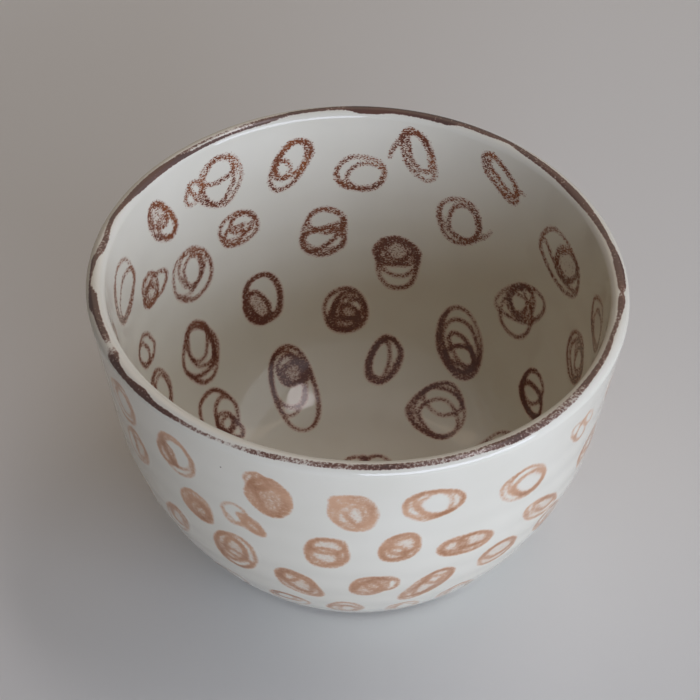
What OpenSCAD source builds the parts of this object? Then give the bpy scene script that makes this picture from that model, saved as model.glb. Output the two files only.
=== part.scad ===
// Stoneware cup without a handle: a turned clay body, a glaze coat inside and
// outside, an iron-oxide line on the lip, and iron-oxide rings drawn on both coats.
// Millimetres, +Z up, origin on the standing plane below the centre of the cup.

/* [Body] */
// Outer diameter at the lip, over the glaze
rim_d = 90; // [80:1:110]
// Overall height, over the glaze
cup_h = 58; // [52:0.5:66]
// Thickness of the clay wall
wall_t = 2.4; // [2:0.1:3.4]
// Thickness of the clay floor
floor_t = 3; // [2.4:0.1:4]
// Lean of the upper wall from vertical, in degrees
wall_lean = 6.8; // [4:0.1:9]
// Lean of the wall from vertical where it meets the foot, in degrees
belly_lean = 42.5; // [38:0.5:48]
// Radius of the hollow between the floor and the wall
corner_r = 18; // [12:1:20]

/* [Foot] */
// Outer diameter of the foot ring
foot_d = 49; // [44:1:54]
// Width of the foot ring
foot_w = 4; // [3:0.5:6]
// Height of the foot ring under the floor
foot_h = 1.6; // [1.2:0.1:2.4]
// Step from the foot ring out to the wall
foot_ledge = 2.4; // [1.5:0.1:3]
// Rounding of the foot ring's lower edges
foot_round = 0.6; // [0.3:0.1:1]

/* [Glaze] */
// Thickness of both glaze coats
glaze_t = 0.4; // [0.3:0.05:0.6]
// Where the oxide line on the lip begins, in degrees above the outer side
lip_line_out = 10; // [5:5:45]
// Where the oxide line on the lip ends, in degrees above the outer side
lip_line_in = 140; // [100:5:150]

/* [Oxide rings] */
// Thickness of the oxide on the glaze
ring_t = 0.25; // [0.1:0.05:0.4]
// Width of a ring's line, drawn two or three times over itself
line_w = 1.6; // [1:0.1:2]
// Outer radius of a ring inside the cup
inner_ring_r = 4.6; // [3.8:0.1:5]
// Distance between rings along a row inside the cup
inner_pitch = 15.2; // [14:0.1:18]
// Distance between rows inside the cup
inner_row_gap = 14.6; // [13:0.1:16]
// Outer radius of a ring outside the cup
outer_ring_r = 4.3; // [3.6:0.1:4.5]
// Distance between rings along a row outside the cup
outer_pitch = 13.8; // [13:0.1:16]
// Distance between rows outside the cup
outer_row_gap = 11.8; // [11:0.1:14]
// Distance from the top of the wall to the middle of the first row
first_row = 9; // [8:0.5:12]

/* [Hidden] */

$fn = 96;
lip_steps = 8;
foot_steps = 4;
// Points of the curved wall for each row of rings, and the least length between two points
points_per_row = 4;
least_step = 1;

// Rows of rings from the lip down. Each has its pitch in parts of the general one, the direction
// of its first ring in degrees, and how far its rings stray from their even places, in parts of
// the room between two rings. The strays repeat around the cup.
inner_layout = [
    [0.98, 6, [-0.5, 0, 0.5, 0.5, -0.1, -0.4, -0.4, -0.5, -0.5]],
    [0.88, 18, [-0.5, 0, 0.5, 0.2, 0.3, 0.5, 0.3, -0.5, -0.5]],
    [1.16, 27, [-0.5, -0.2, 0.5, 0.3, 0.1, -0.5]],
    [1.05, 47, [0.1, -0.2, -0.1, -0.2, 0.1]]];
outer_layout = [
    [1.03, -150, [0.1, -0.1, 0.5, 0.3, 0, 0.3, -0.2]],
    [0.9, -148, [0.2, 0.5, -0.3, 0, -0.3, -0.5, 0.2]],
    [0.8, -136, [-0.2, 0.4, -0.1, 0.5, -0.5, -0.2]],
    [0.76, -94, [0.2, -0.3, -0.5, 0.3, 0]]];
// Least room between two rings of a row
ring_gap = 0.5;
// Length of the tube that cuts a ring out of its layer
tube_len = 6;

clay_color = "#cdc3b1";
glaze_color = "#dedcd2";
inner_oxide_color = "#6b3a2a";
outer_oxide_color = "#b98a63";

// The section is drawn as radius and height. A tangent of t degrees from the
// horizontal has this outward normal.
function normal(t) = [sin(t), -cos(t)];
function tangent(t) = [cos(t), sin(t)];
function arc(c, r, t_from, t_to, steps) =
    [for (i = [0 : steps]) c + r * normal(t_from + (t_to - t_from) * i / steps)];
function backwards(p) = [for (i = [len(p) - 1 : -1 : 0]) p[i]];
function after_first(p) = [for (i = [1 : len(p) - 1]) p[i]];

// Clay section: lip, straight upper wall, belly arc and the hollow beside the floor
t_belly = 90 - belly_lean;
t_wall = 90 - wall_lean;
lip_r = wall_t / 2;
lip_c = [rim_d / 2 - lip_r - glaze_t, cup_h - lip_r - glaze_t];
wall_top = lip_c + lip_r * normal(t_wall);
wall_foot = [foot_d / 2 + foot_ledge, foot_h];
rise = wall_top - wall_foot;
bend = normal(t_wall) - normal(t_belly);
run = tangent(t_wall);
turn = bend[0] * run[1] - bend[1] * run[0];
belly_r = (rise[0] * run[1] - rise[1] * run[0]) / turn;
wall_len = (bend[0] * rise[1] - bend[1] * rise[0]) / turn;
belly_c = wall_foot - belly_r * normal(t_belly);

inner_belly_r = belly_r - wall_t;
floor_z = foot_h + floor_t;
corner_drop = floor_z + corner_r - belly_c[1];
corner_reach = sqrt(pow(inner_belly_r - corner_r, 2) - pow(corner_drop, 2));
corner_c = [belly_c[0] + corner_reach, floor_z + corner_r];
t_corner = atan2(corner_reach, -corner_drop);

// Lengths along the section, from the top of the wall down
outer_len = wall_len + belly_r * (t_wall - t_belly) * PI / 180;
inner_belly_end = wall_len + inner_belly_r * (t_wall - t_corner) * PI / 180;
inner_len = inner_belly_end + corner_r * t_corner * PI / 180;

// Place on the clay at a length s below the top of the wall: [radius and height, tangent]
function outer_place(s) =
    let (t = t_wall - max(0, s - wall_len) / belly_r * 180 / PI)
    [belly_c + belly_r * normal(t) + max(0, wall_len - s) * tangent(t), t];
function inner_place(s) =
    s > inner_belly_end
    ? let (t = (inner_len - s) / corner_r * 180 / PI) [corner_c + corner_r * normal(t), t]
    : let (clay = outer_place(wall_len + (s - wall_len) * (s > wall_len ? belly_r / inner_belly_r : 1)))
      [clay[0] - wall_t * normal(clay[1]), clay[1]];

// Lengths at which the curved wall has a point: its two ends, and even parts of the ring rows
function wall_points(from, to, row_gap) = concat(
    [from],
    [for (s = [first_row : row_gap / points_per_row : to - least_step]) if (s > from + least_step) s],
    [to]);
outer_points = wall_points(wall_len, outer_len, outer_row_gap);
inner_points = concat(
    wall_points(wall_len, inner_belly_end, inner_row_gap),
    after_first(wall_points(inner_belly_end, inner_len, inner_row_gap)));

// Lines of the section at a distance k from the clay
t_line_out = 90 + lip_line_out;
t_line_in = 90 + lip_line_in;
function outer_line(k) = concat(
    [for (s = backwards(outer_points)) let (p = outer_place(s)) p[0] + k * normal(p[1])],
    arc(lip_c, lip_r + k, t_wall, t_line_out, lip_steps));
function lip_line(k) = arc(lip_c, lip_r + k, t_line_out, t_line_in, lip_steps);
function inner_line(k) = concat(
    [[0, floor_z + k]],
    [for (s = backwards(inner_points)) let (p = inner_place(s)) p[0] - k * normal(p[1])],
    arc(lip_c, lip_r + k, t_wall + 180, t_line_in, lip_steps));

foot_out = foot_d / 2;
foot_in = foot_out - foot_w;
function foot_line() = concat(
    [[0, foot_h], [foot_in, foot_h]],
    arc([foot_in + foot_round, foot_round], foot_round, -90, 0, foot_steps),
    arc([foot_out - foot_round, foot_round], foot_round, 0, 90, foot_steps),
    [[foot_out, foot_h]]);

module layer(line_a, line_b) {
    rotate_extrude() polygon(concat(line_a, backwards(line_b)));
}

// Rows of rings that fit on each side of the wall
inner_rows = 1 + floor((inner_len - first_row - inner_ring_r) / inner_row_gap);
outer_rows = 1 + floor((outer_len - first_row - outer_ring_r) / outer_row_gap);

// A ring as a short tube square to the wall
module ring_at(place, azimuth, r) {
    rotate([0, 0, azimuth]) translate([place[0][0], 0, place[0][1]])
        rotate([0, 180 - place[1], 0]) difference() {
            cylinder(h = tube_len, r = r, center = true);
            cylinder(h = tube_len + 1, r = r - line_w, center = true);
        }
}

// One row of rings around the cup, cut from a thin layer on the glaze that is turned to start
// and end between the last ring and the first
module ring_row(place, pitch, r, layout) {
    girth = 2 * PI * place[0][0];
    count = floor(girth / max(pitch * layout[0], 2 * r + ring_gap));
    room = 1 - (2 * r + ring_gap) * count / girth;
    strays = layout[2];
    azimuths = [for (i = [0 : count - 1]) layout[1] + (i + room * strays[i % len(strays)]) * 360 / count];
    intersection() {
        rotate([0, 0, (azimuths[0] + azimuths[count - 1]) / 2 - 180]) children();
        for (azimuth = azimuths)
            ring_at(place, azimuth, r);
    }
}

module stoneware_body() {
    color(clay_color) rotate_extrude() polygon(concat(
        foot_line(), outer_line(0), after_first(lip_line(0)), after_first(backwards(inner_line(0)))));
}

module inner_glaze() {
    color(glaze_color) layer(inner_line(glaze_t), inner_line(0));
}

module outer_glaze() {
    color(glaze_color) layer(outer_line(0), outer_line(glaze_t));
}

module rim_oxide_band() {
    color(inner_oxide_color) layer(lip_line(0), lip_line(glaze_t));
}

module inner_ring_layer() {
    layer(inner_line(glaze_t + ring_t), inner_line(glaze_t));
}

module inner_oxide_rings() {
    color(inner_oxide_color) {
        for (row = [0 : inner_rows - 1])
            ring_row(inner_place(first_row + row * inner_row_gap), inner_pitch, inner_ring_r,
                     inner_layout[row % len(inner_layout)])
                inner_ring_layer();
        intersection() {
            inner_ring_layer();
            ring_at([[0, floor_z], 0], 0, inner_ring_r);
        }
    }
}

module outer_oxide_rings() {
    color(outer_oxide_color)
        for (row = [0 : outer_rows - 1])
            ring_row(outer_place(first_row + row * outer_row_gap), outer_pitch, outer_ring_r,
                     outer_layout[row % len(outer_layout)])
                layer(outer_line(glaze_t), outer_line(glaze_t + ring_t));
}

stoneware_body();
inner_glaze();
outer_glaze();
rim_oxide_band();
inner_oxide_rings();
outer_oxide_rings();
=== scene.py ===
import math
import random

import bmesh
import bpy
import numpy as np
from mathutils import Matrix, Vector


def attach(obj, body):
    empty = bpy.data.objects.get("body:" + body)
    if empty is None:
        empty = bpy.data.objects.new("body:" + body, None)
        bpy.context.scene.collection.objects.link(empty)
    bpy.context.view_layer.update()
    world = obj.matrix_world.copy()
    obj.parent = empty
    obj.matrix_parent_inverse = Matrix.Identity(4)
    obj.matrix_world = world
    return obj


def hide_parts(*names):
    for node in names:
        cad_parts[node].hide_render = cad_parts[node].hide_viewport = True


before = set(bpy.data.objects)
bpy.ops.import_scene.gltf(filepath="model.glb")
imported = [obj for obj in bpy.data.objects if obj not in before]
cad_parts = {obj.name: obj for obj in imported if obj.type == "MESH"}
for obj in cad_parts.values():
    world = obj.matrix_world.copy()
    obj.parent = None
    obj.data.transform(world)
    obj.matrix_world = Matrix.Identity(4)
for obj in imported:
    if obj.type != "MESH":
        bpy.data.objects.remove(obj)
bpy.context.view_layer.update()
mm = 0.001
print("frame loaded:", ", ".join(sorted(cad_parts)))

# The cup's section in mm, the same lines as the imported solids
cup = {
    "rimWidth": 90.0, "height": 58.0, "wall": 2.4, "floor": 3.0,
    "wallLean": 6.8, "bellyLean": 42.5, "cornerRound": 18.0,
    "footWidth": 49.0, "footRing": 4.0, "footHeight": 1.6, "footLedge": 2.4, "footRound": 0.6,
    "coat": 0.4, "lineStart": 10.0, "lineEnd": 140.0,  # where the lip line's band begins and ends, in degrees
}
# How finely it is turned: steps around, mm along the section in sight and under a coat, degrees over the lip
# and the foot's edges, and parts of the recess
turning = {"around": 320, "along": 0.7, "hidden": 2.0, "lip": 5, "foot": 15, "recess": 16}
mergeWithin = 1e-6  # metres
sharpAngle = 40  # degrees


def outward(t):  # normal of a wall that climbs at t degrees
    return Vector((math.sin(math.radians(t)), -math.cos(math.radians(t))))


def uphill(t):
    return Vector((math.cos(math.radians(t)), math.sin(math.radians(t))))


tWall = 90 - cup["wallLean"]
tBelly = 90 - cup["bellyLean"]
lipRound = cup["wall"] / 2
lipCentre = Vector((cup["rimWidth"] / 2, cup["height"])) - Vector((1, 1)) * (lipRound + cup["coat"])
wallFoot = Vector((cup["footWidth"] / 2 + cup["footLedge"], cup["footHeight"]))
climb = lipCentre + lipRound * outward(tWall) - wallFoot
swing = outward(tWall) - outward(tBelly)
bellyRound = climb.cross(uphill(tWall)) / swing.cross(uphill(tWall))
wallLength = swing.cross(climb) / swing.cross(uphill(tWall))
bellyCentre = wallFoot - bellyRound * outward(tBelly)
innerBelly = bellyRound - cup["wall"]
floorTop = cup["footHeight"] + cup["floor"]
cornerDrop = floorTop + cup["cornerRound"] - bellyCentre.y
cornerReach = math.sqrt((innerBelly - cup["cornerRound"]) ** 2 - cornerDrop ** 2)
cornerCentre = Vector((bellyCentre.x + cornerReach, floorTop + cup["cornerRound"]))
tCorner = math.degrees(math.atan2(cornerReach, -cornerDrop))
outerLength = wallLength + bellyRound * math.radians(tWall - tBelly)
bellyEnd = wallLength + innerBelly * math.radians(tWall - tCorner)
innerLength = bellyEnd + cup["cornerRound"] * math.radians(tCorner)


# A place on the clay, so many mm down the wall from the lip: radius and height, and its climb in degrees
def outerPlace(down):
    t = tWall - math.degrees(max(0, down - wallLength) / bellyRound)
    return bellyCentre + bellyRound * outward(t) + max(0, wallLength - down) * uphill(t), t


def innerPlace(down):
    if down > innerLength:
        return Vector((cornerCentre.x - (down - innerLength), floorTop)), 0
    if down > bellyEnd:
        t = math.degrees((innerLength - down) / cup["cornerRound"])
        return cornerCentre + cup["cornerRound"] * outward(t), t
    stretch = bellyRound / innerBelly if down > wallLength else 1
    clay, t = outerPlace(wallLength + (down - wallLength) * stretch)
    return clay - cup["wall"] * outward(t), t


def lipArc(radius, start, end):
    count = max(2, round(abs(end - start) / turning["lip"]))
    return [lipCentre + radius * outward(start + (end - start) * i / count) for i in range(count + 1)]


def evenSteps(start, end, seen):
    count = max(1, math.ceil(abs(end - start) / turning["along" if seen else "hidden"]))
    return [start + (end - start) * i / count for i in range(count + 1)]


def outerLine(lift):  # from the foot up to the lip line
    steps = evenSteps(outerLength, wallLength, lift) + evenSteps(wallLength, 0, lift)[1:]
    wall = [outerPlace(s) for s in steps]
    return ([p + lift * outward(t) for p, t in wall]
            + lipArc(lipRound + lift, tWall, 90 + cup["lineStart"])[1:])


def lipLine(lift):
    return lipArc(lipRound + lift, 90 + cup["lineStart"], 90 + cup["lineEnd"])


def innerLine(lift):  # from the middle of the floor up to the lip line
    turns = (innerLength + cornerCentre.x, innerLength, bellyEnd, wallLength, 0)
    steps = [turns[0]]
    for start, end in zip(turns, turns[1:]):
        steps += evenSteps(start, end, lift)[1:]
    wall = [innerPlace(s) for s in steps]
    return ([p - lift * outward(t) for p, t in wall]
            + lipArc(lipRound + lift, tWall + 180, 90 + cup["lineEnd"])[1:])


def footLine():
    footOut, r = cup["footWidth"] / 2, cup["footRound"]
    footIn = footOut - cup["footRing"]
    edges = [(footIn + r, -90), (footOut - r, 0)]
    turns = range(0, 91, turning["foot"])
    rounded = [Vector((x, r)) + r * outward(start + t) for x, start in edges for t in turns]
    recess = [Vector((footIn * i / turning["recess"], cup["footHeight"]))
              for i in range(turning["recess"] + 1)]
    return recess + rounded + [Vector((footOut, cup["footHeight"]))]


# What a hand leaves on a thrown cup: a lip that isn't quite round and isn't level, faint throwing ridges.
# Angles are in degrees from the right, seen from above. The powers say how late up the wall each sets in, and
# the still middle is a part of the lip's radius. Every piece is moved by this one field.
hand = {
    "oval": 0.24, "ovalAt": -26.0, "threeSided": 0.23, "threeAt": -47.0, "outPower": 1.5,
    "lipLift": -0.48, "lipTilt": 1.16, "lipTiltAt": 124.0, "risePower": 3,
    "ridge": 0.05, "ridgeGap": 6.5, "stillMiddle": 0.5,
}


def handMade(point):
    x, y, z = point.x / mm, point.y / mm, point.z / mm
    theta = math.atan2(y, x)
    up = min(1, max(0, z / cup["height"]))
    swell = hand["oval"] * math.cos(2 * (theta - math.radians(hand["ovalAt"])))
    swell += hand["threeSided"] * math.cos(3 * (theta - math.radians(hand["threeAt"])))
    out = swell * up ** hand["outPower"]
    out += hand["ridge"] * math.sin(2 * math.pi * z / hand["ridgeGap"] + theta) * math.sin(math.pi * up) ** 2
    reach = math.hypot(x, y) / (cup["rimWidth"] / 2)
    out *= min(1, reach / hand["stillMiddle"])
    rise = hand["lipLift"] + hand["lipTilt"] * math.cos(theta - math.radians(hand["lipTiltAt"]))
    return Vector((x + out * math.cos(theta), y + out * math.sin(theta),
                   z + rise * up ** hand["risePower"])) * mm


def turned(section, closed):
    bm = bmesh.new()
    verts = [bm.verts.new((p.x * mm, 0, p.y * mm)) for p in section]
    edges = [bm.edges.new(pair) for pair in zip(verts, verts[1:])]
    if closed:
        edges.append(bm.edges.new((verts[-1], verts[0])))
    bmesh.ops.spin(bm, geom=verts + edges, cent=(0, 0, 0), axis=(0, 0, 1), angle=2 * math.pi,
                   steps=turning["around"], use_merge=True)
    bmesh.ops.remove_doubles(bm, verts=bm.verts, dist=mergeWithin)
    bmesh.ops.recalc_face_normals(bm, faces=bm.faces)
    return bm


def keepPiece(name, bm, node):
    mesh = bpy.data.meshes.new(name)
    bm.to_mesh(mesh)
    bm.free()
    for polygon in mesh.polygons:
        polygon.use_smooth = True
    mesh.set_sharp_from_angle(angle=math.radians(sharpAngle))
    piece = bpy.data.objects.new(name, mesh)
    bpy.context.scene.collection.objects.link(piece)
    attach(piece, "root")
    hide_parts(node)
    print(name, "has", len(mesh.vertices), "points")
    return piece


bodyMesh = turned(footLine() + outerLine(0) + lipLine(0)[1:] + innerLine(0)[-2::-1], False)
innerMesh = turned(innerLine(cup["coat"]) + innerLine(0)[::-1], False)
outerMesh = turned(outerLine(0) + outerLine(cup["coat"])[::-1], True)
bandMesh = turned(lipLine(0) + lipLine(cup["coat"])[::-1], True)

# The brown line on the lip, brushed on in a few goes. Each go runs through its knots: direction in degrees
# from the right, where the line begins and ends over the lip in degrees above the outer side, and how firm it
# is. It is firm up to the inset, in degrees, from each end. From there its load drops with the square of the
# way: by the fade at the edge's width in mm. Sways of the firmness: waves around the cup, their height and
# their start.
lipBrush = {
    "inset": 5.0, "edge": 0.16, "fade": 0.25, "sways": ((13, 0.07, 2), (29, 0.05, 0)),
    "goes": [
        [(-180, 57, 86, 1), (-178, 57, 78, 1), (-174.5, 53, 64, 0.9), (-171, 48, 97, 1), (-168, 38, 97, 1.02),
         (-165, 58, 98, 1), (-158, 60, 98, 0.95), (-155, 58, 95, 0.4), (-153.5, 40, 100, 0.7),
         (-152, 26, 100, 1.05), (-149, 27, 64, 1.05), (-145, 27, 57, 0.92), (-140, 27, 76, 1),
         (-136, 29, 56, 0.95), (-128, 36, 60, 0.88), (-123, 38, 60, 0.75), (-120, 40, 62, 0.5),
         (-112, 44, 72, 0.66), (-104, 50, 84, 0.72), (-94, 54, 90, 0.78), (-80, 55, 92, 0.8),
         (-70, 56, 94, 0.8), (-64, 56, 97, 0.8), (-57, 46, 92, 0.84), (-50, 50, 96, 0.78),
         (-41, 58, 106, 0.77), (-34, 74, 108, 0.88), (-26, 76, 108, 0.9), (-19, 88, 114, 0.92),
         (-13, 76, 103, 0.9), (-8, 62, 105, 1), (-5.5, 70, 96, 0.7), (-4, 56, 106, 0.9), (2, 53, 108, 1),
         (7, 64, 105, 1.08), (12, 80, 110, 1), (20, 82, 122, 1), (30, 80, 130, 1), (40, 78, 122, 1),
         (47, 74, 116, 0.95), (52, 66, 96, 0.9), (58, 62, 112, 0.95), (65, 60, 108, 0.95), (68, 56, 130, 1.1),
         (76, 56, 122, 1.02), (82, 56, 120, 1.02), (86, 56, 133, 1.15), (90, 60, 133, 1.15),
         (93, 66, 110, 0.95), (100, 78, 106, 1.05), (107, 82, 110, 1), (113, 106, 132, 0.95),
         (120, 118, 135, 0.95), (134, 122, 138, 1.05), (138, 104, 136, 1.1), (145, 88, 136, 1.15),
         (152, 86, 133, 1.15), (158, 84, 116, 1.05), (164, 76, 100, 0.95), (168, 84, 112, 0.85),
         (171, 92, 128, 0.95), (175, 76, 124, 0.8), (178, 56, 90, 1), (180, 57, 86, 1)],
        [(106, 84, 108, 0.7), (112, 90, 114, 0.75), (126, 94, 110, 0.7), (134, 94, 112, 0.75),
         (140, 96, 120, 0.8)],
    ],
}
brushGoes = [tuple(zip(*knots)) for knots in lipBrush["goes"]]
lineLoad = bandMesh.verts.layers.float.new("oxideLoad")
for vert in bandMesh.verts:
    radius, theta = math.hypot(vert.co.x, vert.co.y) / mm, math.atan2(vert.co.y, vert.co.x)
    over = math.degrees(math.atan2(vert.co.z / mm - lipCentre.y, radius - lipCentre.x))
    sway = sum(high * math.sin(waves * theta + start) for waves, high, start in lipBrush["sways"])
    for directions, *courses in brushGoes:
        if directions[0] <= math.degrees(theta) <= directions[-1]:
            begin, end, firm = (np.interp(math.degrees(theta), directions, course) for course in courses)
            outside = max(begin + lipBrush["inset"] - over, over - end + lipBrush["inset"], 0)
            beyond = math.radians(outside) * (lipRound + cup["coat"])  # in mm
            load = firm + sway - lipBrush["fade"] * (beyond / lipBrush["edge"]) ** 2
            vert[lineLoad] = max(vert[lineLoad], load)

for bm in (bodyMesh, innerMesh, outerMesh, bandMesh):
    for vert in bm.verts:
        vert.co = handMade(vert.co)
stonewareBody = keepPiece("stonewareBody", bodyMesh, "stoneware_body")
innerGlaze = keepPiece("innerGlaze", innerMesh, "inner_glaze")
outerGlaze = keepPiece("outerGlaze", outerMesh, "outer_glaze")
rimOxideBand = keepPiece("rimOxideBand", bandMesh, "rim_oxide_band")

# Scribbled rings, in rows from the lip down, each with the number of rings around the cup and those in sight.
# A ring: direction in degrees, mm down the wall, how firm the line is, how full its last whole loop is, where
# the line starts in degrees, and the loops it runs through: middle across and up, width, height, lean to the
# right, and for a tail its part of a turn. Each row goes on by rule around the rest of the cup, with rings of
# these widths, heights, leans and strays up or down. Spread is about half the width of a line, lift and depth
# are how far the drawn sheet stands over the glaze and goes into it.
innerScribbles = {
    "seed": 5, "spread": 0.42, "gridStep": 0.36, "lift": 0.009, "depth": 0.2, "back": True,
    "ringWidth": (6, 9), "ringHeight": (8.4, 11.4), "ringLean": 36, "stray": 2,
    "rows": [
        (17, [
            (-80.5, 9.8, 0.8, 0, 120, [(-1, 0.2, 12, 11, 0), (0, -1.2, 10.5, 6.5, -15)]),
            (-58.2, 7.5, 0.9, 0.2, 200, [(0, 0, 6, 10.6, -28), (0.9, -1.6, 4.6, 6.6, -45),
                                         (-0.6, 1.6, 4.6, 7, -30)]),
            (-40.3, 7, 0.75, 0, 150, [(-4.3, 0.5, 4.3, 5.2, 15), (2.1, 0, 9.2, 10.4, 10),
                                      (1.4, 2.3, 8.2, 5.4, 0)]),
            (-18, 8.3, 0.85, 0, 40, [(0, 0.1, 6.8, 11.6, 37), (0.2, 1.2, 6, 8.6, 40),
                                     (-1.6, -0.6, 3.8, 4.6, 20)]),
            (0.6, 11.2, 0.8, 0, 170, [(-0.1, 0, 9.8, 7.8, -8), (0.9, -0.6, 7.8, 6.4, -10)]),
            (15.2, 6.3, 0.85, 0, 342, [(0.1, 0.2, 6, 11.9, -25), (0.2, 0.6, 4.4, 9.5, -25),
                                       (-1.2, 0.3, 9.6, 10.6, -10, 0.28)]),
            (38.6, 5.6, 0.85, 0, 192, [(-0.1, 0.5, 5.2, 10.9, -50), (0.5, 1, 3.6, 9.2, -54),
                                       (1.6, 0.6, 10, 8, 0, 0.12)]),
            (63.7, 12.2, 0.95, 0.08, 100, [(0.1, -0.1, 10.4, 14.4, -75), (2.4, 0.2, 9.5, 8, 0),
                                           (2, 0.6, 7.5, 6, -30)]),
            (90, 9.5, 1, 0, 180, [(0.6, -0.3, 11, 8.6, 0), (1.6, -0.6, 8, 6, 0)]),
        ]),
        (18, [
            (-77.4, 26.2, 0.8, 0, 30, [(-0.1, 0.3, 6.4, 7.8, -50), (-1.4, 0.2, 4.6, 6, -20)]),
            (-66.5, 17.5, 0.75, 0.15, 140, [(1, -0.6, 7.6, 5.4, 0), (-1.6, -0.8, 5.4, 4.6, 20),
                                            (-1.3, 0.1, 6.2, 7.2, -15)]),
            (-51.5, 22.5, 0.75, 0, 180, [(0.2, 0.2, 10.6, 11.8, -15), (0.2, 1.4, 7, 8.4, -8),
                                         (0.5, 0.6, 5, 7.6, 5)]),
            (-33.8, 18.3, 0.8, 0, 200, [(-0.2, -0.1, 8.8, 7.4, 10), (0.8, 0.9, 6, 5, 0),
                                        (-1.5, -1.3, 5, 4.6, 0)]),
            (-9.7, 23.7, 0.9, 0, 240, [(0.1, 0, 9, 11.2, 15), (0.5, 2.3, 7.6, 6, 10),
                                       (0.2, -1.7, 8.6, 5.6, 10), (-0.6, -2, 8.6, 6.2, 25, 0.4)]),
            (11.1, 30, 0.9, 0.3, 90, [(0.3, -0.2, 8.6, 11.2, 0), (0.2, 1.1, 8.8, 8.4, 0),
                                      (0.1, 2.3, 5, 4.8, 0), (0, 2.2, 9.2, 6.2, 0)]),
            (29, 17.8, 0.9, 0, 162, [(-0.6, 0, 9.6, 10.2, 10), (0.4, -0.1, 7, 8.2, 0),
                                     (2, 1, 9.4, 8.6, 0, 0.24)]),
            (52.2, 28.7, 0.8, 0, 60, [(-0.2, -1.8, 8.8, 9.6, 15), (0.2, 1, 7.6, 14, 56),
                                      (0.4, 1.2, 6.4, 8, 30), (-0.8, 1, 5.2, 6, 10)]),
            (83.3, 23.2, 1, 0, 0, [(-0.5, -0.5, 10, 10, 0), (0, -0.3, 8, 7.6, 0), (0.6, 0, 4.4, 5.4, 0)]),
        ]),
        (12, [
            (-79.2, 35.4, 0.9, 0, 60, [(0, 0, 8, 9, 0), (0.6, -0.4, 5.6, 7, 10)]),
            (-57, 37.5, 0.95, 0, 200, [(0.1, -0.6, 10.2, 11.6, 15), (0.8, 0.8, 7.2, 9.6, -15),
                                       (0.8, 1.9, 6.2, 8.6, 20)]),
            (-30.2, 34.7, 0.95, 0.3, 90, [(0.1, -0.1, 8.8, 10.6, 5), (0.4, 0.2, 7.6, 9.8, -5),
                                          (-1.3, -1.4, 5.4, 7.6, -20)]),
            (-3.9, 40.5, 1, 0.4, 20, [(0, 0, 9, 9.4, -30), (0.5, -0.6, 7.6, 6.8, -25), (1.3, 0, 5.4, 4, -30),
                                      (-0.4, -1.4, 7, 5.6, -10)]),
            (36.2, 42.2, 1.1, 0, 100, [(0, -0.1, 10.2, 14.2, -32), (0.4, -0.8, 8.4, 11.2, -35),
                                       (0.8, -1.4, 4.6, 8.6, -52), (1, -2.5, 7.2, 4.6, -15)]),
            (71.5, 39.8, 1.1, 0, 150, [(-1.2, 0.6, 7.4, 6.6, 0), (0.2, -1.1, 9.6, 5.4, 0),
                                       (0.4, -1.1, 8.8, 5, 0)]),
        ]),
        (10, [
            (-62.7, 50.4, 0.95, 0, 0, [(-0.4, 1, 10, 9.6, 0), (-0.6, -1.4, 5.4, 4.2, 0),
                                       (-0.2, -3, 4.4, 5.6, 0)]),
            (-28.6, 54, 0.95, 0.5, 180, [(0, -0.6, 9.4, 19, 10), (-0.4, 1.8, 7.4, 12.4, 10),
                                         (1.2, 3.4, 6.8, 6.6, 20), (1.4, 2.8, 5.4, 4.8, 0)]),
            (9.9, 50.3, 0.85, 0, 70, [(0.2, 0.1, 7, 10.2, 12), (0.3, 0.2, 6.2, 9.2, 14),
                                      (-0.5, 0, 4.6, 8.4, 6)]),
            (41, 57, 0.9, 0, 150, [(-0.4, 3.2, 9, 7, 0), (0.1, 0.2, 12.6, 10.8, 4),
                                   (1.2, -0.6, 9.8, 7.6, 14)]),
        ]),
    ],
    "floor": (0, 0, 0.9, 0, 50, [(-0.4, 2.2, 7.6, 9.6, 0), (3.6, 2.7, 6.6, 9.6, 8)]),
}
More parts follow.
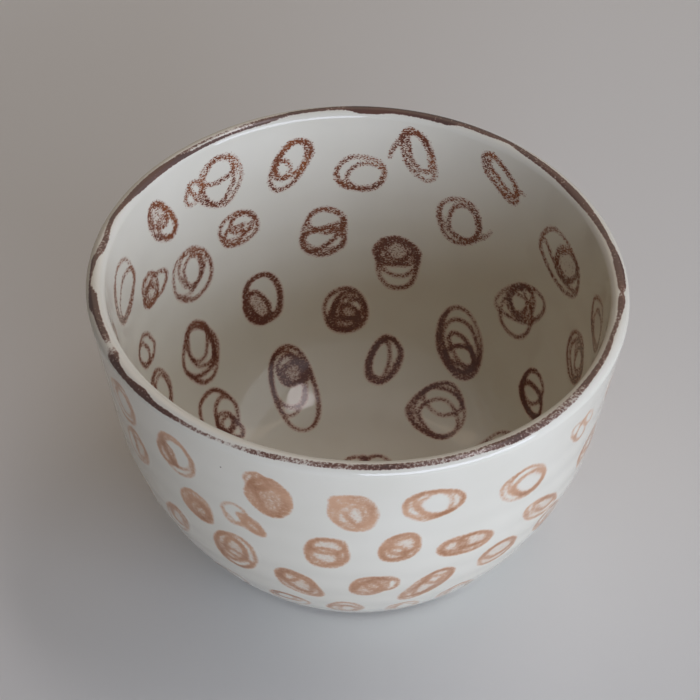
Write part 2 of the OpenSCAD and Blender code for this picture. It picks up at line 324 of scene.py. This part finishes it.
outerScribbles = {
    "seed": 8, "spread": 0.46, "gridStep": 0.43, "lift": 0.009, "depth": 0.2, "back": False,
    "ringWidth": (5.2, 7.6), "ringHeight": (7.4, 9.2), "ringLean": 75, "stray": 0.8,
    "rows": [
        (19, [
            (-59, 6.8, 0.9, 0.1, 90, [(0, 0, 8, 10, 15), (0.5, 0.2, 5.5, 7, 10)]),
            (-41.8, 9, 0.9, 0.36, 120, [(0.4, 0.6, 8.4, 10.2, 8), (0.9, 1.2, 6, 7.8, 5),
                                        (-1.6, -0.4, 4.4, 6, 0)]),
            (-18.5, 8.4, 0.9, 0.8, 90, [(-1.9, 3.4, 4.8, 5, 0), (0.3, -0.6, 5.4, 8.4, 0),
                                        (0, -0.2, 8, 10.8, 0)]),
            (-0.9, 9.4, 0.8, 0.24, 130, [(-2.2, 3, 3.6, 3.4, 0), (0.5, -1, 3.4, 6.4, -10),
                                         (0, -0.4, 6.4, 8.6, -14), (0, -0.2, 8.2, 10.6, -12)]),
            (15.8, 8.6, 0.85, 0.08, 100, [(-0.9, -0.1, 8.6, 8.8, 0), (0.9, 0.2, 8, 7.2, 0),
                                          (-0.2, 0, 10, 8.2, 0)]),
            (37, 12, 0.85, 0.12, 60, [(0, 0.2, 8.6, 10.4, -50), (1, -0.3, 6, 7.8, -50),
                                      (1.2, -0.4, 6.4, 7.4, -60)]),
            (53, 8.3, 0.85, 0, 90, [(2.6, 1.2, 3, 5, -30), (0, 0, 4, 8, -35)]),
        ]),
        (21, [
            (-57.7, 16.5, 0.9, 0.25, 80, [(0.4, 0, 7, 8.6, 10), (1.4, 0, 4, 6, 10)]),
            (-37.7, 19.8, 0.85, 0.5, 60, [(1.4, -1.2, 3.8, 5, 0), (0.2, -0.2, 4.4, 5.8, -15),
                                          (0, 0.2, 6.6, 7.8, -8)]),
            (-25.6, 17, 0.65, 0.3, 180, [(-1.3, 0.5, 5.2, 6.2, 0), (1.9, -1.2, 2.2, 5, -45),
                                         (1.6, -1, 3.4, 6.4, -45)]),
            (-6.7, 21.7, 0.85, 0.26, 150, [(0.2, 2.2, 6.4, 5, -10), (-0.5, -1, 6.2, 5.8, -20),
                                           (0, 0.1, 7.6, 9, 0)]),
            (8.9, 20, 0.95, 0.28, 60, [(0.6, 1, 5.2, 6.2, 10), (-0.9, -1.4, 5, 4.6, 40),
                                       (0.3, 0.1, 6.8, 8.4, 20)]),
            (24.1, 22.4, 0.85, 0.3, 180, [(-2, -0.5, 5, 4.8, 0), (1.6, 0, 6.4, 4.4, 10),
                                          (0.1, -0.4, 10.4, 6.2, 8)]),
            (45.5, 23.6, 0.95, 0.25, 90, [(0.1, -0.3, 5.4, 11, -55), (0.6, 0.2, 3.6, 8, -55)]),
        ]),
        (22, [
            (-47, 29.3, 0.8, 0.25, 90, [(0, 0, 6, 9, 20), (0.4, 0.5, 4, 6, 20)]),
            (-29, 28.6, 0.85, 0.36, 110, [(-0.4, -2.6, 6.4, 6.6, 10), (0, 0.2, 8.4, 11.4, 8),
                                          (0.2, 0.9, 5, 6.8, 5), (-0.8, 0.8, 6.4, 8.8, 8)]),
            (-13.9, 34, 0.95, 0.36, 100, [(-1.6, 2.6, 3.6, 4, -20), (-0.2, 0.8, 4.6, 8.6, -28),
                                          (0, 0.1, 6.8, 11.4, -28)]),
            (4, 32.4, 0.85, 0.55, 30, [(1.4, 0.8, 6, 6, 0), (-0.8, -0.4, 4.6, 5.6, 15),
                                       (-0.8, 0, 6.6, 8.2, 20)]),
            (16.9, 34.3, 0.95, 0.26, 200, [(1.6, 2.6, 4.2, 6, 32), (-0.4, -1.2, 4.4, 10, 32),
                                           (0, -0.8, 6.4, 13.2, 32)]),
            (34.8, 31, 0.95, 0.25, 90, [(0.2, 0.9, 6.4, 5.8, -10), (0, 0.1, 7.8, 7.8, 0)]),
        ]),
        (21, [
            (-3, 44.4, 0.8, 0.25, 90, [(0.4, -1.4, 3.6, 6, 0), (0, -0.4, 6.4, 9, 0)]),
            (13.2, 46, 0.6, 0, 90, [(0, -1, 6, 8, 0), (0.3, -1.4, 4, 6, 0)]),
            (28.5, 44.7, 0.9, 0, 90, [(0, -0.4, 7, 9.6, -15), (0.4, -0.6, 5, 7, -10)]),
        ]),
    ],
}
# What else varies in a ring drawn by rule: degrees aside, firmness, fill, and its further loops' number, size
# in parts of the first, and lean
byRule = {
    "aside": 1.5, "firm": (0.75, 1), "fill": 0.3,
    "moreLoops": (1, 3), "loopSize": (0.5, 0.95), "loopLean": 20,
}


def ringByRule(look, dice):
    width, height = dice.uniform(*look["ringWidth"]), dice.uniform(*look["ringHeight"])
    lean = dice.uniform(-1, 1) * look["ringLean"]
    loops = [(0, 0, width, height, lean)]
    for more in range(dice.randint(*byRule["moreLoops"])):
        size, way = dice.uniform(*byRule["loopSize"]), dice.uniform(0, 2 * math.pi)
        aside = (1 - size) / 2
        loops.append((aside * width * math.cos(way), aside * height * math.sin(way),
                      size * width, size * height, lean + dice.uniform(-1, 1) * byRule["loopLean"]))
    return loops


def wholeRow(look, count, drawn, dice):
    around = list(drawn)
    gap = (drawn[0][0] + 360 - drawn[-1][0]) / (count - len(drawn) + 1)
    middle = sum(mark[1] for mark in drawn) / len(drawn)
    for i in range(count - len(drawn)):
        direction = drawn[-1][0] + gap * (i + 1) + dice.uniform(-1, 1) * byRule["aside"]
        down = middle + dice.uniform(-1, 1) * look["stray"]
        firm, fill = dice.uniform(*byRule["firm"]), max(0, dice.uniform(-1, 1) * byRule["fill"])
        around.append((direction, down, firm, fill, dice.uniform(0, 360), ringByRule(look, dice)))
    return around


# How the crayon goes and lies, for both walls
crayon = {
    "slide": 0.3, "stepsPerTurn": 220,  # part of a turn from one loop over into the next
    "inside": 0.4,  # mm from the edge of a loop to the middle of the line
    "sways": ((1.7, 0.12), (2.9, 0.1), (5.3, 0.07)),  # waves in a turn, and mm
    "pressWaves": ((0.8, 0.3), (2.3, 0.12)),  # waves in a turn, and share of the firmness
    "endPress": 0.35, "endGain": 8,  # lighter at both ends of the line
    "fillEnd": 1.05, "fillEdge": 0.25,  # in parts of the filled loop
    "leastLoad": 0.02, "logShare": 0.25,
    "margin": 1.2, "bareLoad": 0.12, "smoothTimes": 2, "smoothShare": 0.5,  # the sheet a ring is cut from
}


# The way of the line: round each loop, then over into the next, with an unsteady hand
def scribble(mark, dice):
    firm, start, loops = mark[2], mark[4], mark[5]
    knots, ranks, done = [], [], 0
    for i, loop in enumerate(loops):
        tail = loop[5:]  # a last short sweep off the loop before
        done += 0 if i == 0 else tail[0] if tail else crayon["slide"]
        knots += [done, done + (0 if tail else 1)]
        ranks += [i, i]
        done = knots[-1]
    tau = np.linspace(0, done, int(done * crayon["stepsPerTurn"]))
    rank = np.interp(tau, knots, ranks)
    midX, midY, width, height, lean = (
        np.interp(rank, range(len(loops)), [loop[k] for loop in loops]) for k in range(5))
    lean, turn = np.radians(lean), np.radians(start) + 2 * np.pi * tau
    across, along = ((width / 2 - crayon["inside"]) * np.cos(turn),
                     (height / 2 - crayon["inside"]) * np.sin(turn))
    x = midX + across * np.cos(lean) + along * np.sin(lean)
    y = midY + along * np.cos(lean) - across * np.sin(lean)
    for rate, sway in crayon["sways"]:
        x += sway * np.sin(2 * np.pi * rate * tau + dice.uniform(0, 6))
        y += sway * np.sin(2 * np.pi * rate * tau + dice.uniform(0, 6))
    (slowRate, slow), (quickRate, quick) = crayon["pressWaves"]
    press = 1 + slow * np.sin(2 * np.pi * slowRate * tau + dice.uniform(0, 6))
    press += quick * np.sin(2 * np.pi * quickRate * tau)
    toEnd = np.minimum(tau, tau[-1] - tau)
    press *= firm * np.clip(toEnd * crayon["endGain"] + crayon["endPress"], 0, 1)
    return np.stack((x, y), 1), press


# How much oxide lies at each point, on a log scale with 1 for one firm pass: every pass of the line near it
# adds up, and so does what fills the last whole loop
def oxideAt(points, path, press, spread, mark):
    steps = np.linalg.norm(np.diff(path, axis=0, append=path[-1:]), axis=1)
    away = ((points[:, None] - path[None]) ** 2).sum(2)
    load = (np.exp(-away / spread ** 2) * (press * steps)[None]).sum(1) / (spread * math.sqrt(math.pi))
    midX, midY, width, height, lean = [loop for loop in mark[5] if len(loop) == 5][-1]
    x, y, lean = points[:, 0] - midX, points[:, 1] - midY, math.radians(lean)
    across, along = x * math.cos(lean) - y * math.sin(lean), x * math.sin(lean) + y * math.cos(lean)
    out = np.hypot(across / (width / 2), along / (height / 2))
    load += mark[3] * np.clip((crayon["fillEnd"] - out) / crayon["fillEdge"], 0, 1)
    return 1 + crayon["logShare"] * np.log(np.maximum(load, crayon["leastLoad"]))


def flatSheet(low, high, step):
    flat = bmesh.new()
    across, up = (math.ceil(count) for count in (high - low) / step)
    bmesh.ops.create_grid(flat, x_segments=across, y_segments=up, size=0.5)
    bmesh.ops.scale(flat, vec=(high[0] - low[0], high[1] - low[1], 1), verts=flat.verts)
    bmesh.ops.translate(flat, vec=(*(low + high) / 2, 0), verts=flat.verts)
    return flat


# Cuts the sheet to the scribble, without faces that meet at a corner only, and softens its edge
def trimSheet(flat, loadLayer):
    bare = [face for face in flat.faces if max(vert[loadLayer] for vert in face.verts) < crayon["bareLoad"]]
    bmesh.ops.delete(flat, geom=bare, context="FACES")
    pinched = True
    while pinched:
        pinched = [vert for vert in flat.verts if len(vert.link_faces) == 2
                   and not set(vert.link_faces[0].edges) & set(vert.link_faces[1].edges)]
        bmesh.ops.delete(flat, geom=[vert.link_faces[0] for vert in pinched][:1], context="FACES")
    edge = [vert for vert in flat.verts if vert.is_boundary]
    for again in range(crayon["smoothTimes"]):
        bmesh.ops.smooth_vert(flat, verts=edge, factor=crayon["smoothShare"],
                              use_axis_x=True, use_axis_y=True)


def drawRings(look, place, side):
    dice = random.Random(look["seed"])
    marks = [mark for count, drawn in look["rows"] for mark in wholeRow(look, count, drawn, dice)]
    if "floor" in look:
        marks.append(look["floor"])
    rings = bmesh.new()
    rings.verts.layers.float.new("oxideLoad")
    scratch = bpy.data.meshes.new("scratch")
    for mark in marks:
        path, press = scribble(mark, dice)
        flat = flatSheet(path.min(0) - crayon["margin"], path.max(0) + crayon["margin"], look["gridStep"])
        loadLayer = flat.verts.layers.float.new("oxideLoad")
        for trim in (True, False):  # the oxide is measured again on the trimmed sheet
            flat.verts.ensure_lookup_table()
            points = np.array([vert.co[:2] for vert in flat.verts])
            for vert, load in zip(flat.verts, oxideAt(points, path, press, look["spread"], mark)):
                vert[loadLayer] = load
            if trim:
                trimSheet(flat, loadLayer)
        raised = bmesh.ops.extrude_face_region(flat, geom=flat.faces[:])["geom"]
        for vert in flat.verts:
            vert.co.z = -look["depth"]
        for vert in raised:
            if isinstance(vert, bmesh.types.BMVert):
                vert.co.z = look["lift"]
        for vert in flat.verts:
            x, y, lift = vert.co
            lift += cup["coat"]
            if mark is look.get("floor"):
                vert.co = Vector((x, y, floorTop + lift)) * mm
                continue
            point, t = place(mark[1] - y)
            spot = point + side * lift * outward(t)
            turn = math.radians(mark[0]) + x / point.x
            theta = math.pi / 2 - turn if look["back"] else turn - math.pi / 2
            vert.co = Vector((spot.x * math.cos(theta), spot.x * math.sin(theta), spot.y)) * mm
        bmesh.ops.recalc_face_normals(flat, faces=flat.faces)
        flat.to_mesh(scratch)
        flat.free()
        rings.from_mesh(scratch)
    bpy.data.meshes.remove(scratch)
    for vert in rings.verts:
        vert.co = handMade(vert.co)
    print(len(marks), "rings drawn")
    return rings


innerRings = drawRings(innerScribbles, innerPlace, -1)
innerOxideRings = keepPiece("innerOxideRings", innerRings, "inner_oxide_rings")
outerRings = drawRings(outerScribbles, outerPlace, 1)
outerOxideRings = keepPiece("outerOxideRings", outerRings, "outer_oxide_rings")


def linear(colour):  # sRGB hex to linear
    parts = [int(colour[i:i + 2], 16) / 255 for i in (1, 3, 5)]
    return [p / 12.92 if p <= 0.04045 else ((p + 0.055) / 1.055) ** 2.4 for p in parts] + [1]


def addNode(tree, kind, inputs=None, **settings):
    node = tree.nodes.new(kind)
    for name, value in settings.items():
        setattr(node, name, value)
    for name, value in (inputs or {}).items():
        if isinstance(value, bpy.types.NodeSocket):
            tree.links.new(value, node.inputs[name])
        else:
            node.inputs[name].default_value = value
    return node


def perSize(size):  # texture scale for features so many mm wide
    return 1000 / size


def noise(tree, where, size, detail, roughness=0.5):
    inputs = {"Vector": where, "Scale": perSize(size), "Detail": detail, "Roughness": roughness}
    return addNode(tree, "ShaderNodeTexNoise", inputs).outputs[0]


def maths(tree, operation, *values):
    return addNode(tree, "ShaderNodeMath", dict(enumerate(values)), operation=operation).outputs[0]


def ramp(tree, value, span=(0, 1), ends=(0, 1), kind="LINEAR"):
    inputs = {0: value, 1: span[0], 2: span[1], 3: ends[0], 4: ends[1]}
    return addNode(tree, "ShaderNodeMapRange", inputs, interpolation_type=kind).outputs[0]


def between(tree, share, first, second):
    return addNode(tree, "ShaderNodeMix", {0: share, 2: first, 3: second}).outputs[0]


def tint(tree, share, *colours):  # from the first colour to the second, each a hex or a socket
    first, second = (linear(colour) if isinstance(colour, str) else colour for colour in colours)
    return addNode(tree, "ShaderNodeMix", {0: share, 6: first, 7: second}, data_type="RGBA").outputs[2]


def newMaterial(name):
    material = bpy.data.materials.new(name)
    material.use_nodes = True
    tree = material.node_tree
    tree.nodes.clear()
    where = addNode(tree, "ShaderNodeTexCoord").outputs["Object"]
    return material, tree, where


def shade(tree, colour, rough, bump, ior):
    inputs = {"Base Color": colour, "Roughness": rough, "Normal": bump, "IOR": ior}
    shader = addNode(tree, "ShaderNodeBsdfPrincipled", inputs)
    addNode(tree, "ShaderNodeOutputMaterial", {"Surface": shader.outputs[0]})


# Glossy cream glaze, fired on: a smooth wet shine, slightly thicker and whiter in places, a few iron specks.
# Sizes, gaps and heights here and below are in mm.
glazeLook = {
    "thin": "#dfdaca", "thick": "#e9e4d6", "cloud": 14.0,
    "speck": "#5a4636", "speckGap": 7.0, "speckSize": 0.16, "specklessShare": 0.55,
    "rough": (0.03, 0.08), "peel": 2.2, "peelHeight": 0.012, "ior": 1.5,
}
noiseSpan = (0.3, 0.7)  # where most of a noise lies


def glazeCoat(tree, where):
    cloud = noise(tree, where, glazeLook["cloud"], 3)
    colour = tint(tree, cloud, glazeLook["thin"], glazeLook["thick"])
    cell = addNode(tree, "ShaderNodeTexVoronoi", {"Vector": where, "Scale": perSize(glazeLook["speckGap"])})
    chance = addNode(tree, "ShaderNodeSeparateColor", {0: cell.outputs["Color"]}).outputs[0]
    reach = ramp(tree, chance, (glazeLook["specklessShare"], 1),
                 (0, glazeLook["speckSize"] / glazeLook["speckGap"]))
    near = maths(tree, "LESS_THAN", cell.outputs["Distance"], reach)
    colour = tint(tree, near, colour, glazeLook["speck"])
    rough = ramp(tree, cloud, noiseSpan, glazeLook["rough"])
    peel = noise(tree, where, glazeLook["peel"], 1)
    bump = addNode(tree, "ShaderNodeBump", {
        "Height": peel, "Distance": glazeLook["peelHeight"] * mm, "Strength": 1.0})
    return colour, rough, bump.outputs[0]


def glazed(name):
    material, tree, where = newMaterial(name)
    shade(tree, *glazeCoat(tree, where), glazeLook["ior"])
    return material


# Iron oxide crayon under the glaze: grains of red-brown with the glaze showing between them and a faint haze
# of oxide around, rusty in patches, melted into soft lines where the glaze has pooled lower down. The rust
# tint rises towards the lip; inside the cup that rise, which makes the upper marks lighter, is painted light
# where the upper wall catches more light. Tone and cover are given over the oxide's load, heights of the
# change from sharp to soft and to rust in mm.
crayonLook = {
    "inner": {
        "thin": "#bb6b3c", "thick": "#5e281b", "tone": (0.5, 1.12), "opacity": 0.97,
        # inside, the rust tint rising over these heights makes the upper marks lighter: painted light where
        # the upper wall catches more light
        "rust": "#98501f", "rustShare": 0.7, "rustOver": (15, 52),
        "grain": 0.42, "grainDepth": 3.4, "flatten": 1.8, "cover": (0.7, 0.9), "softCover": (0.42, 1.06),
        "sharpAbove": 48, "softBelow": 17, "melted": 0.92, "haze": (0.27, 0.44), "hazeFrom": 0.15,
        "rough": 0.1, "relief": 0.008,
    },
    "outer": {
        "thin": "#dba67c", "thick": "#9d633a", "tone": (0.6, 1.3), "opacity": 0.94,
        "rust": "#d6a682", "rustShare": 1.0, "rustOver": (14, 54),
        "grain": 0.55, "grainDepth": 1.4, "flatten": 1.0, "cover": (0.74, 0.92), "softCover": (0.4, 1.15),
        "sharpAbove": 200, "softBelow": 100, "melted": 0.85, "haze": (0.3, 0.3), "hazeFrom": 0.45,
        "rough": 0.12, "relief": 0.004,
    },
    "lip": {
        "thin": "#915039", "thick": "#45201a", "tone": (0.35, 0.95), "opacity": 0.96,
        "rust": "#7a4128", "rustShare": 0.25, "rustOver": (44, 56),
        "grain": 0.42, "grainDepth": 1.8, "flatten": 1.0, "cover": (0.44, 0.8), "softCover": (0.3, 0.9),
        "sharpAbove": 200, "softBelow": 100, "melted": 0.5, "haze": (0.45, 0.45), "hazeFrom": 0.45,
        "rough": 0.2, "relief": 0.008,
    },
}
crayonGrit = {"rough": 0.6, "softShare": 0.3, "rustGap": 7.0, "rustSpan": (0.35, 0.65)}  # for all three


def crayoned(name, look):
    material, tree, where = newMaterial(name)
    glaze, glazeRough, bump = glazeCoat(tree, where)
    load = addNode(tree, "ShaderNodeAttribute", attribute_name="oxideLoad").outputs["Fac"]
    height = addNode(tree, "ShaderNodeSeparateXYZ", {0: where}).outputs["Z"]
    # grains lie along the throwing lines
    flat = addNode(tree, "ShaderNodeMapping", {"Vector": where, "Scale": (1, 1, look["flatten"])}).outputs[0]
    grit = noise(tree, flat, look["grain"], 2, crayonGrit["rough"])
    grain = ramp(tree, grit, ends=(-look["grainDepth"] / 2, look["grainDepth"] / 2))
    sharp = maths(tree, "ADD", load, grain)
    soft = maths(tree, "MULTIPLY_ADD", grain, crayonGrit["softShare"], load)
    downWall = (look["sharpAbove"] * mm, look["softBelow"] * mm)
    melted = ramp(tree, height, downWall, (0, look["melted"]))
    sharpCover = ramp(tree, sharp, look["cover"], kind="SMOOTHSTEP")
    softCover = ramp(tree, soft, look["softCover"], kind="SMOOTHSTEP")
    hazeMost = ramp(tree, height, downWall, look["haze"])
    haze = ramp(tree, load, (look["hazeFrom"], 1), (0, hazeMost))
    cover = maths(tree, "MAXIMUM", between(tree, melted, sharpCover, softCover), haze)
    cover = maths(tree, "MULTIPLY", cover, look["opacity"])
    tone = ramp(tree, between(tree, melted, sharp, soft), look["tone"])
    oxide = tint(tree, tone, look["thin"], look["thick"])
    # towards the lip the oxide turns to its rust colour in patches: the patches are its own tone, while the
    # rise with height is painted light on the upper wall inside the cup
    nearLip = ramp(tree, height, [high * mm for high in look["rustOver"]], (0, look["rustShare"]))
    patch = noise(tree, where, crayonGrit["rustGap"], 1)
    oxide = tint(tree, ramp(tree, patch, crayonGrit["rustSpan"], (0, nearLip)), oxide, look["rust"])
    rough = between(tree, cover, glazeRough, look["rough"])
    gritty = addNode(tree, "ShaderNodeBump", {
        "Height": grit, "Distance": look["relief"] * mm, "Normal": bump})
    shade(tree, tint(tree, cover, glaze, oxide), rough, gritty.outputs[0], glazeLook["ior"])
    return material


# Bare buff stoneware, turned and fired: matt, gritty, dark grog specks, shallow turning rings
clayLook = {
    "pale": "#cfc3ae", "deep": "#b7a68d", "cloud": 9.0,
    "grog": "#7d6650", "grogGap": 1.6, "grogSize": 0.3, "grogShare": 0.8,
    "ring": 5.655, "ringHeight": 0.05, "ringWander": 1.5,
    "grit": 0.35, "gritHeight": 0.03, "rough": (0.77, 0.93), "ior": 1.5,
}
wavePhase = 20  # radians in one unit of a wave texture at scale 1


def bareStoneware():
    material, tree, where = newMaterial("bare turned stoneware")
    colour = tint(tree, noise(tree, where, clayLook["cloud"], 4), clayLook["pale"], clayLook["deep"])
    cell = addNode(tree, "ShaderNodeTexVoronoi", {"Vector": where, "Scale": perSize(clayLook["grogGap"])})
    grogSpan = (0, clayLook["grogSize"] / clayLook["grogGap"])
    near = ramp(tree, cell.outputs["Distance"], grogSpan, (clayLook["grogShare"], 0))
    colour = tint(tree, near, colour, clayLook["grog"])
    scale = perSize(clayLook["ring"]) * 2 * math.pi / wavePhase
    waves = {"Vector": where, "Scale": scale, "Distortion": clayLook["ringWander"], "Detail": 2}
    ring = addNode(tree, "ShaderNodeTexWave", waves, wave_type="RINGS", rings_direction="Z").outputs["Fac"]
    grit = noise(tree, where, clayLook["grit"], 3)
    ringBump = addNode(tree, "ShaderNodeBump", {
        "Height": ring, "Distance": clayLook["ringHeight"] * mm}).outputs[0]
    gritBump = {"Height": grit, "Distance": clayLook["gritHeight"] * mm, "Normal": ringBump}
    bump = addNode(tree, "ShaderNodeBump", gritBump).outputs[0]
    shade(tree, colour, ramp(tree, grit, noiseSpan, clayLook["rough"]), bump, clayLook["ior"])
    return material


stonewareBody.data.materials.append(bareStoneware())
glazeCoatMaterial = glazed("glossy cream glaze")
innerGlaze.data.materials.append(glazeCoatMaterial)
outerGlaze.data.materials.append(glazeCoatMaterial)
rimOxideBand.data.materials.append(crayoned("iron oxide line on the lip", crayonLook["lip"]))
innerOxideRings.data.materials.append(crayoned("iron oxide crayon inside", crayonLook["inner"]))
outerOxideRings.data.materials.append(crayoned("iron oxide crayon outside", crayonLook["outer"]))
print("materials made")

# Floor, light and camera, in metres. The floor passes into the backdrop's colour between the two distances.
stage = {
    "floor": "#e4e3df", "floorRough": 0.9, "floorHalf": 3.0, "fade": (0.3, 0.95),
    "backdrop": "#a5a4a1", "sky": "#ffe9cc", "skyLevel": 0.05, "lightsAim": 0.03,
}


# The pale background shows to the eye, in gloss and through glass, and gives no light of its own
def seenDirectly(tree):
    rays = addNode(tree, "ShaderNodeLightPath").outputs
    seen = maths(tree, "MAXIMUM", rays["Is Camera Ray"], rays["Is Glossy Ray"])
    return maths(tree, "MAXIMUM", seen, rays["Is Transmission Ray"])


floorMesh = bmesh.new()
bmesh.ops.create_grid(floorMesh, x_segments=1, y_segments=1, size=stage["floorHalf"])
floorData = bpy.data.meshes.new("plainFloor")
floorMesh.to_mesh(floorData)
floorMesh.free()
plainFloor = bpy.data.objects.new("plainFloor", floorData)
bpy.context.scene.collection.objects.link(plainFloor)
floorPaint, floorTree, floorWhere = newMaterial("matt pale floor")
floorInputs = {"Base Color": linear(stage["floor"]), "Roughness": stage["floorRough"]}
floorShader = addNode(floorTree, "ShaderNodeBsdfPrincipled", floorInputs).outputs[0]
farGlow = addNode(floorTree, "ShaderNodeEmission", {"Color": linear(stage["backdrop"])}).outputs[0]
away = addNode(floorTree, "ShaderNodeVectorMath", {0: floorWhere}, operation="LENGTH").outputs["Value"]
farSeen = ramp(floorTree, away, stage["fade"], (0, seenDirectly(floorTree)), "SMOOTHSTEP")
floorMix = addNode(floorTree, "ShaderNodeMixShader", {0: farSeen, 1: floorShader, 2: farGlow}).outputs[0]
addNode(floorTree, "ShaderNodeOutputMaterial", {"Surface": floorMix})
floorData.materials.append(floorPaint)

world = bpy.data.worlds.new("studio")
bpy.context.scene.world = world
world.use_nodes = True
worldTree = world.node_tree
worldTree.nodes.clear()
skyInputs = {"Color": linear(stage["sky"]), "Strength": stage["skyLevel"]}
sky = addNode(worldTree, "ShaderNodeBackground", skyInputs).outputs[0]
backdrop = addNode(worldTree, "ShaderNodeBackground", {
    "Color": linear(stage["backdrop"]), "Strength": 1.0}).outputs[0]
room = addNode(worldTree, "ShaderNodeMixShader", {0: seenDirectly(worldTree), 1: sky, 2: backdrop}).outputs[0]
addNode(worldTree, "ShaderNodeOutputWorld", {"Surface": room})

# Each panel: direction from the front to the right and height in degrees, distance, width and height in
# metres, watts, colour and shape
panels = {
    "windowPanel": (32, 15, 0.9, 1.1, 0.4, 7.8, "#dfe9ff", "RECTANGLE"),
    "rightPanel": (90, 42, 0.9, 1.2, 0.7, 1.75, "#e6f2ff", "RECTANGLE"),
    "backPanel": (180, 47, 0.9, 1.4, 0.55, 1.65, "#ffe4c6", "RECTANGLE"),
    "topPanel": (114, 71.5, 0.79, 0.46, 0.12, 0.64, "#f8f0f6", "ELLIPSE"),
}
for name, (turn, lift, distance, width, height, watts, colour, shape) in panels.items():
    lamp = bpy.data.lights.new(name, "AREA")
    lamp.shape, lamp.size, lamp.size_y, lamp.energy = shape, width, height, watts
    lamp.color = linear(colour)[:3]
    holder = bpy.data.objects.new(name, lamp)
    turn, lift = math.radians(turn), math.radians(lift)
    toLamp = Vector((math.sin(turn) * math.cos(lift), -math.cos(turn) * math.cos(lift), math.sin(lift)))
    holder.location = toLamp * distance + Vector((0, 0, stage["lightsAim"]))
    holder.rotation_euler = toLamp.to_track_quat("Z", "Y").to_euler()
    bpy.context.scene.collection.objects.link(holder)

# The camera's place and sensor are in mm
cameraPlace = {
    "at": (-1.4, -249.2, 278.2), "right": (1, 0.0048, 0.005), "forward": (0, 0.7216, -0.6923),
    "lens": 102.86, "sensor": 36, "nearest": 10,
}
camera = bpy.data.objects.new("camera", bpy.data.cameras.new("camera"))
camera.data.lens, camera.data.sensor_width = cameraPlace["lens"], cameraPlace["sensor"]
camera.data.clip_start = cameraPlace["nearest"] * mm
ahead, right = Vector(cameraPlace["forward"]).normalized(), Vector(cameraPlace["right"])
right = (right - ahead * right.dot(ahead)).normalized()
axes = Matrix((right, right.cross(ahead), -ahead)).transposed()
camera.matrix_world = Matrix.Translation(Vector(cameraPlace["at"]) * mm) @ axes.to_4x4()
bpy.context.scene.collection.objects.link(camera)
bpy.context.scene.camera = camera
bpy.context.scene.view_settings.view_transform = "Standard"
print("stage, light and camera set")
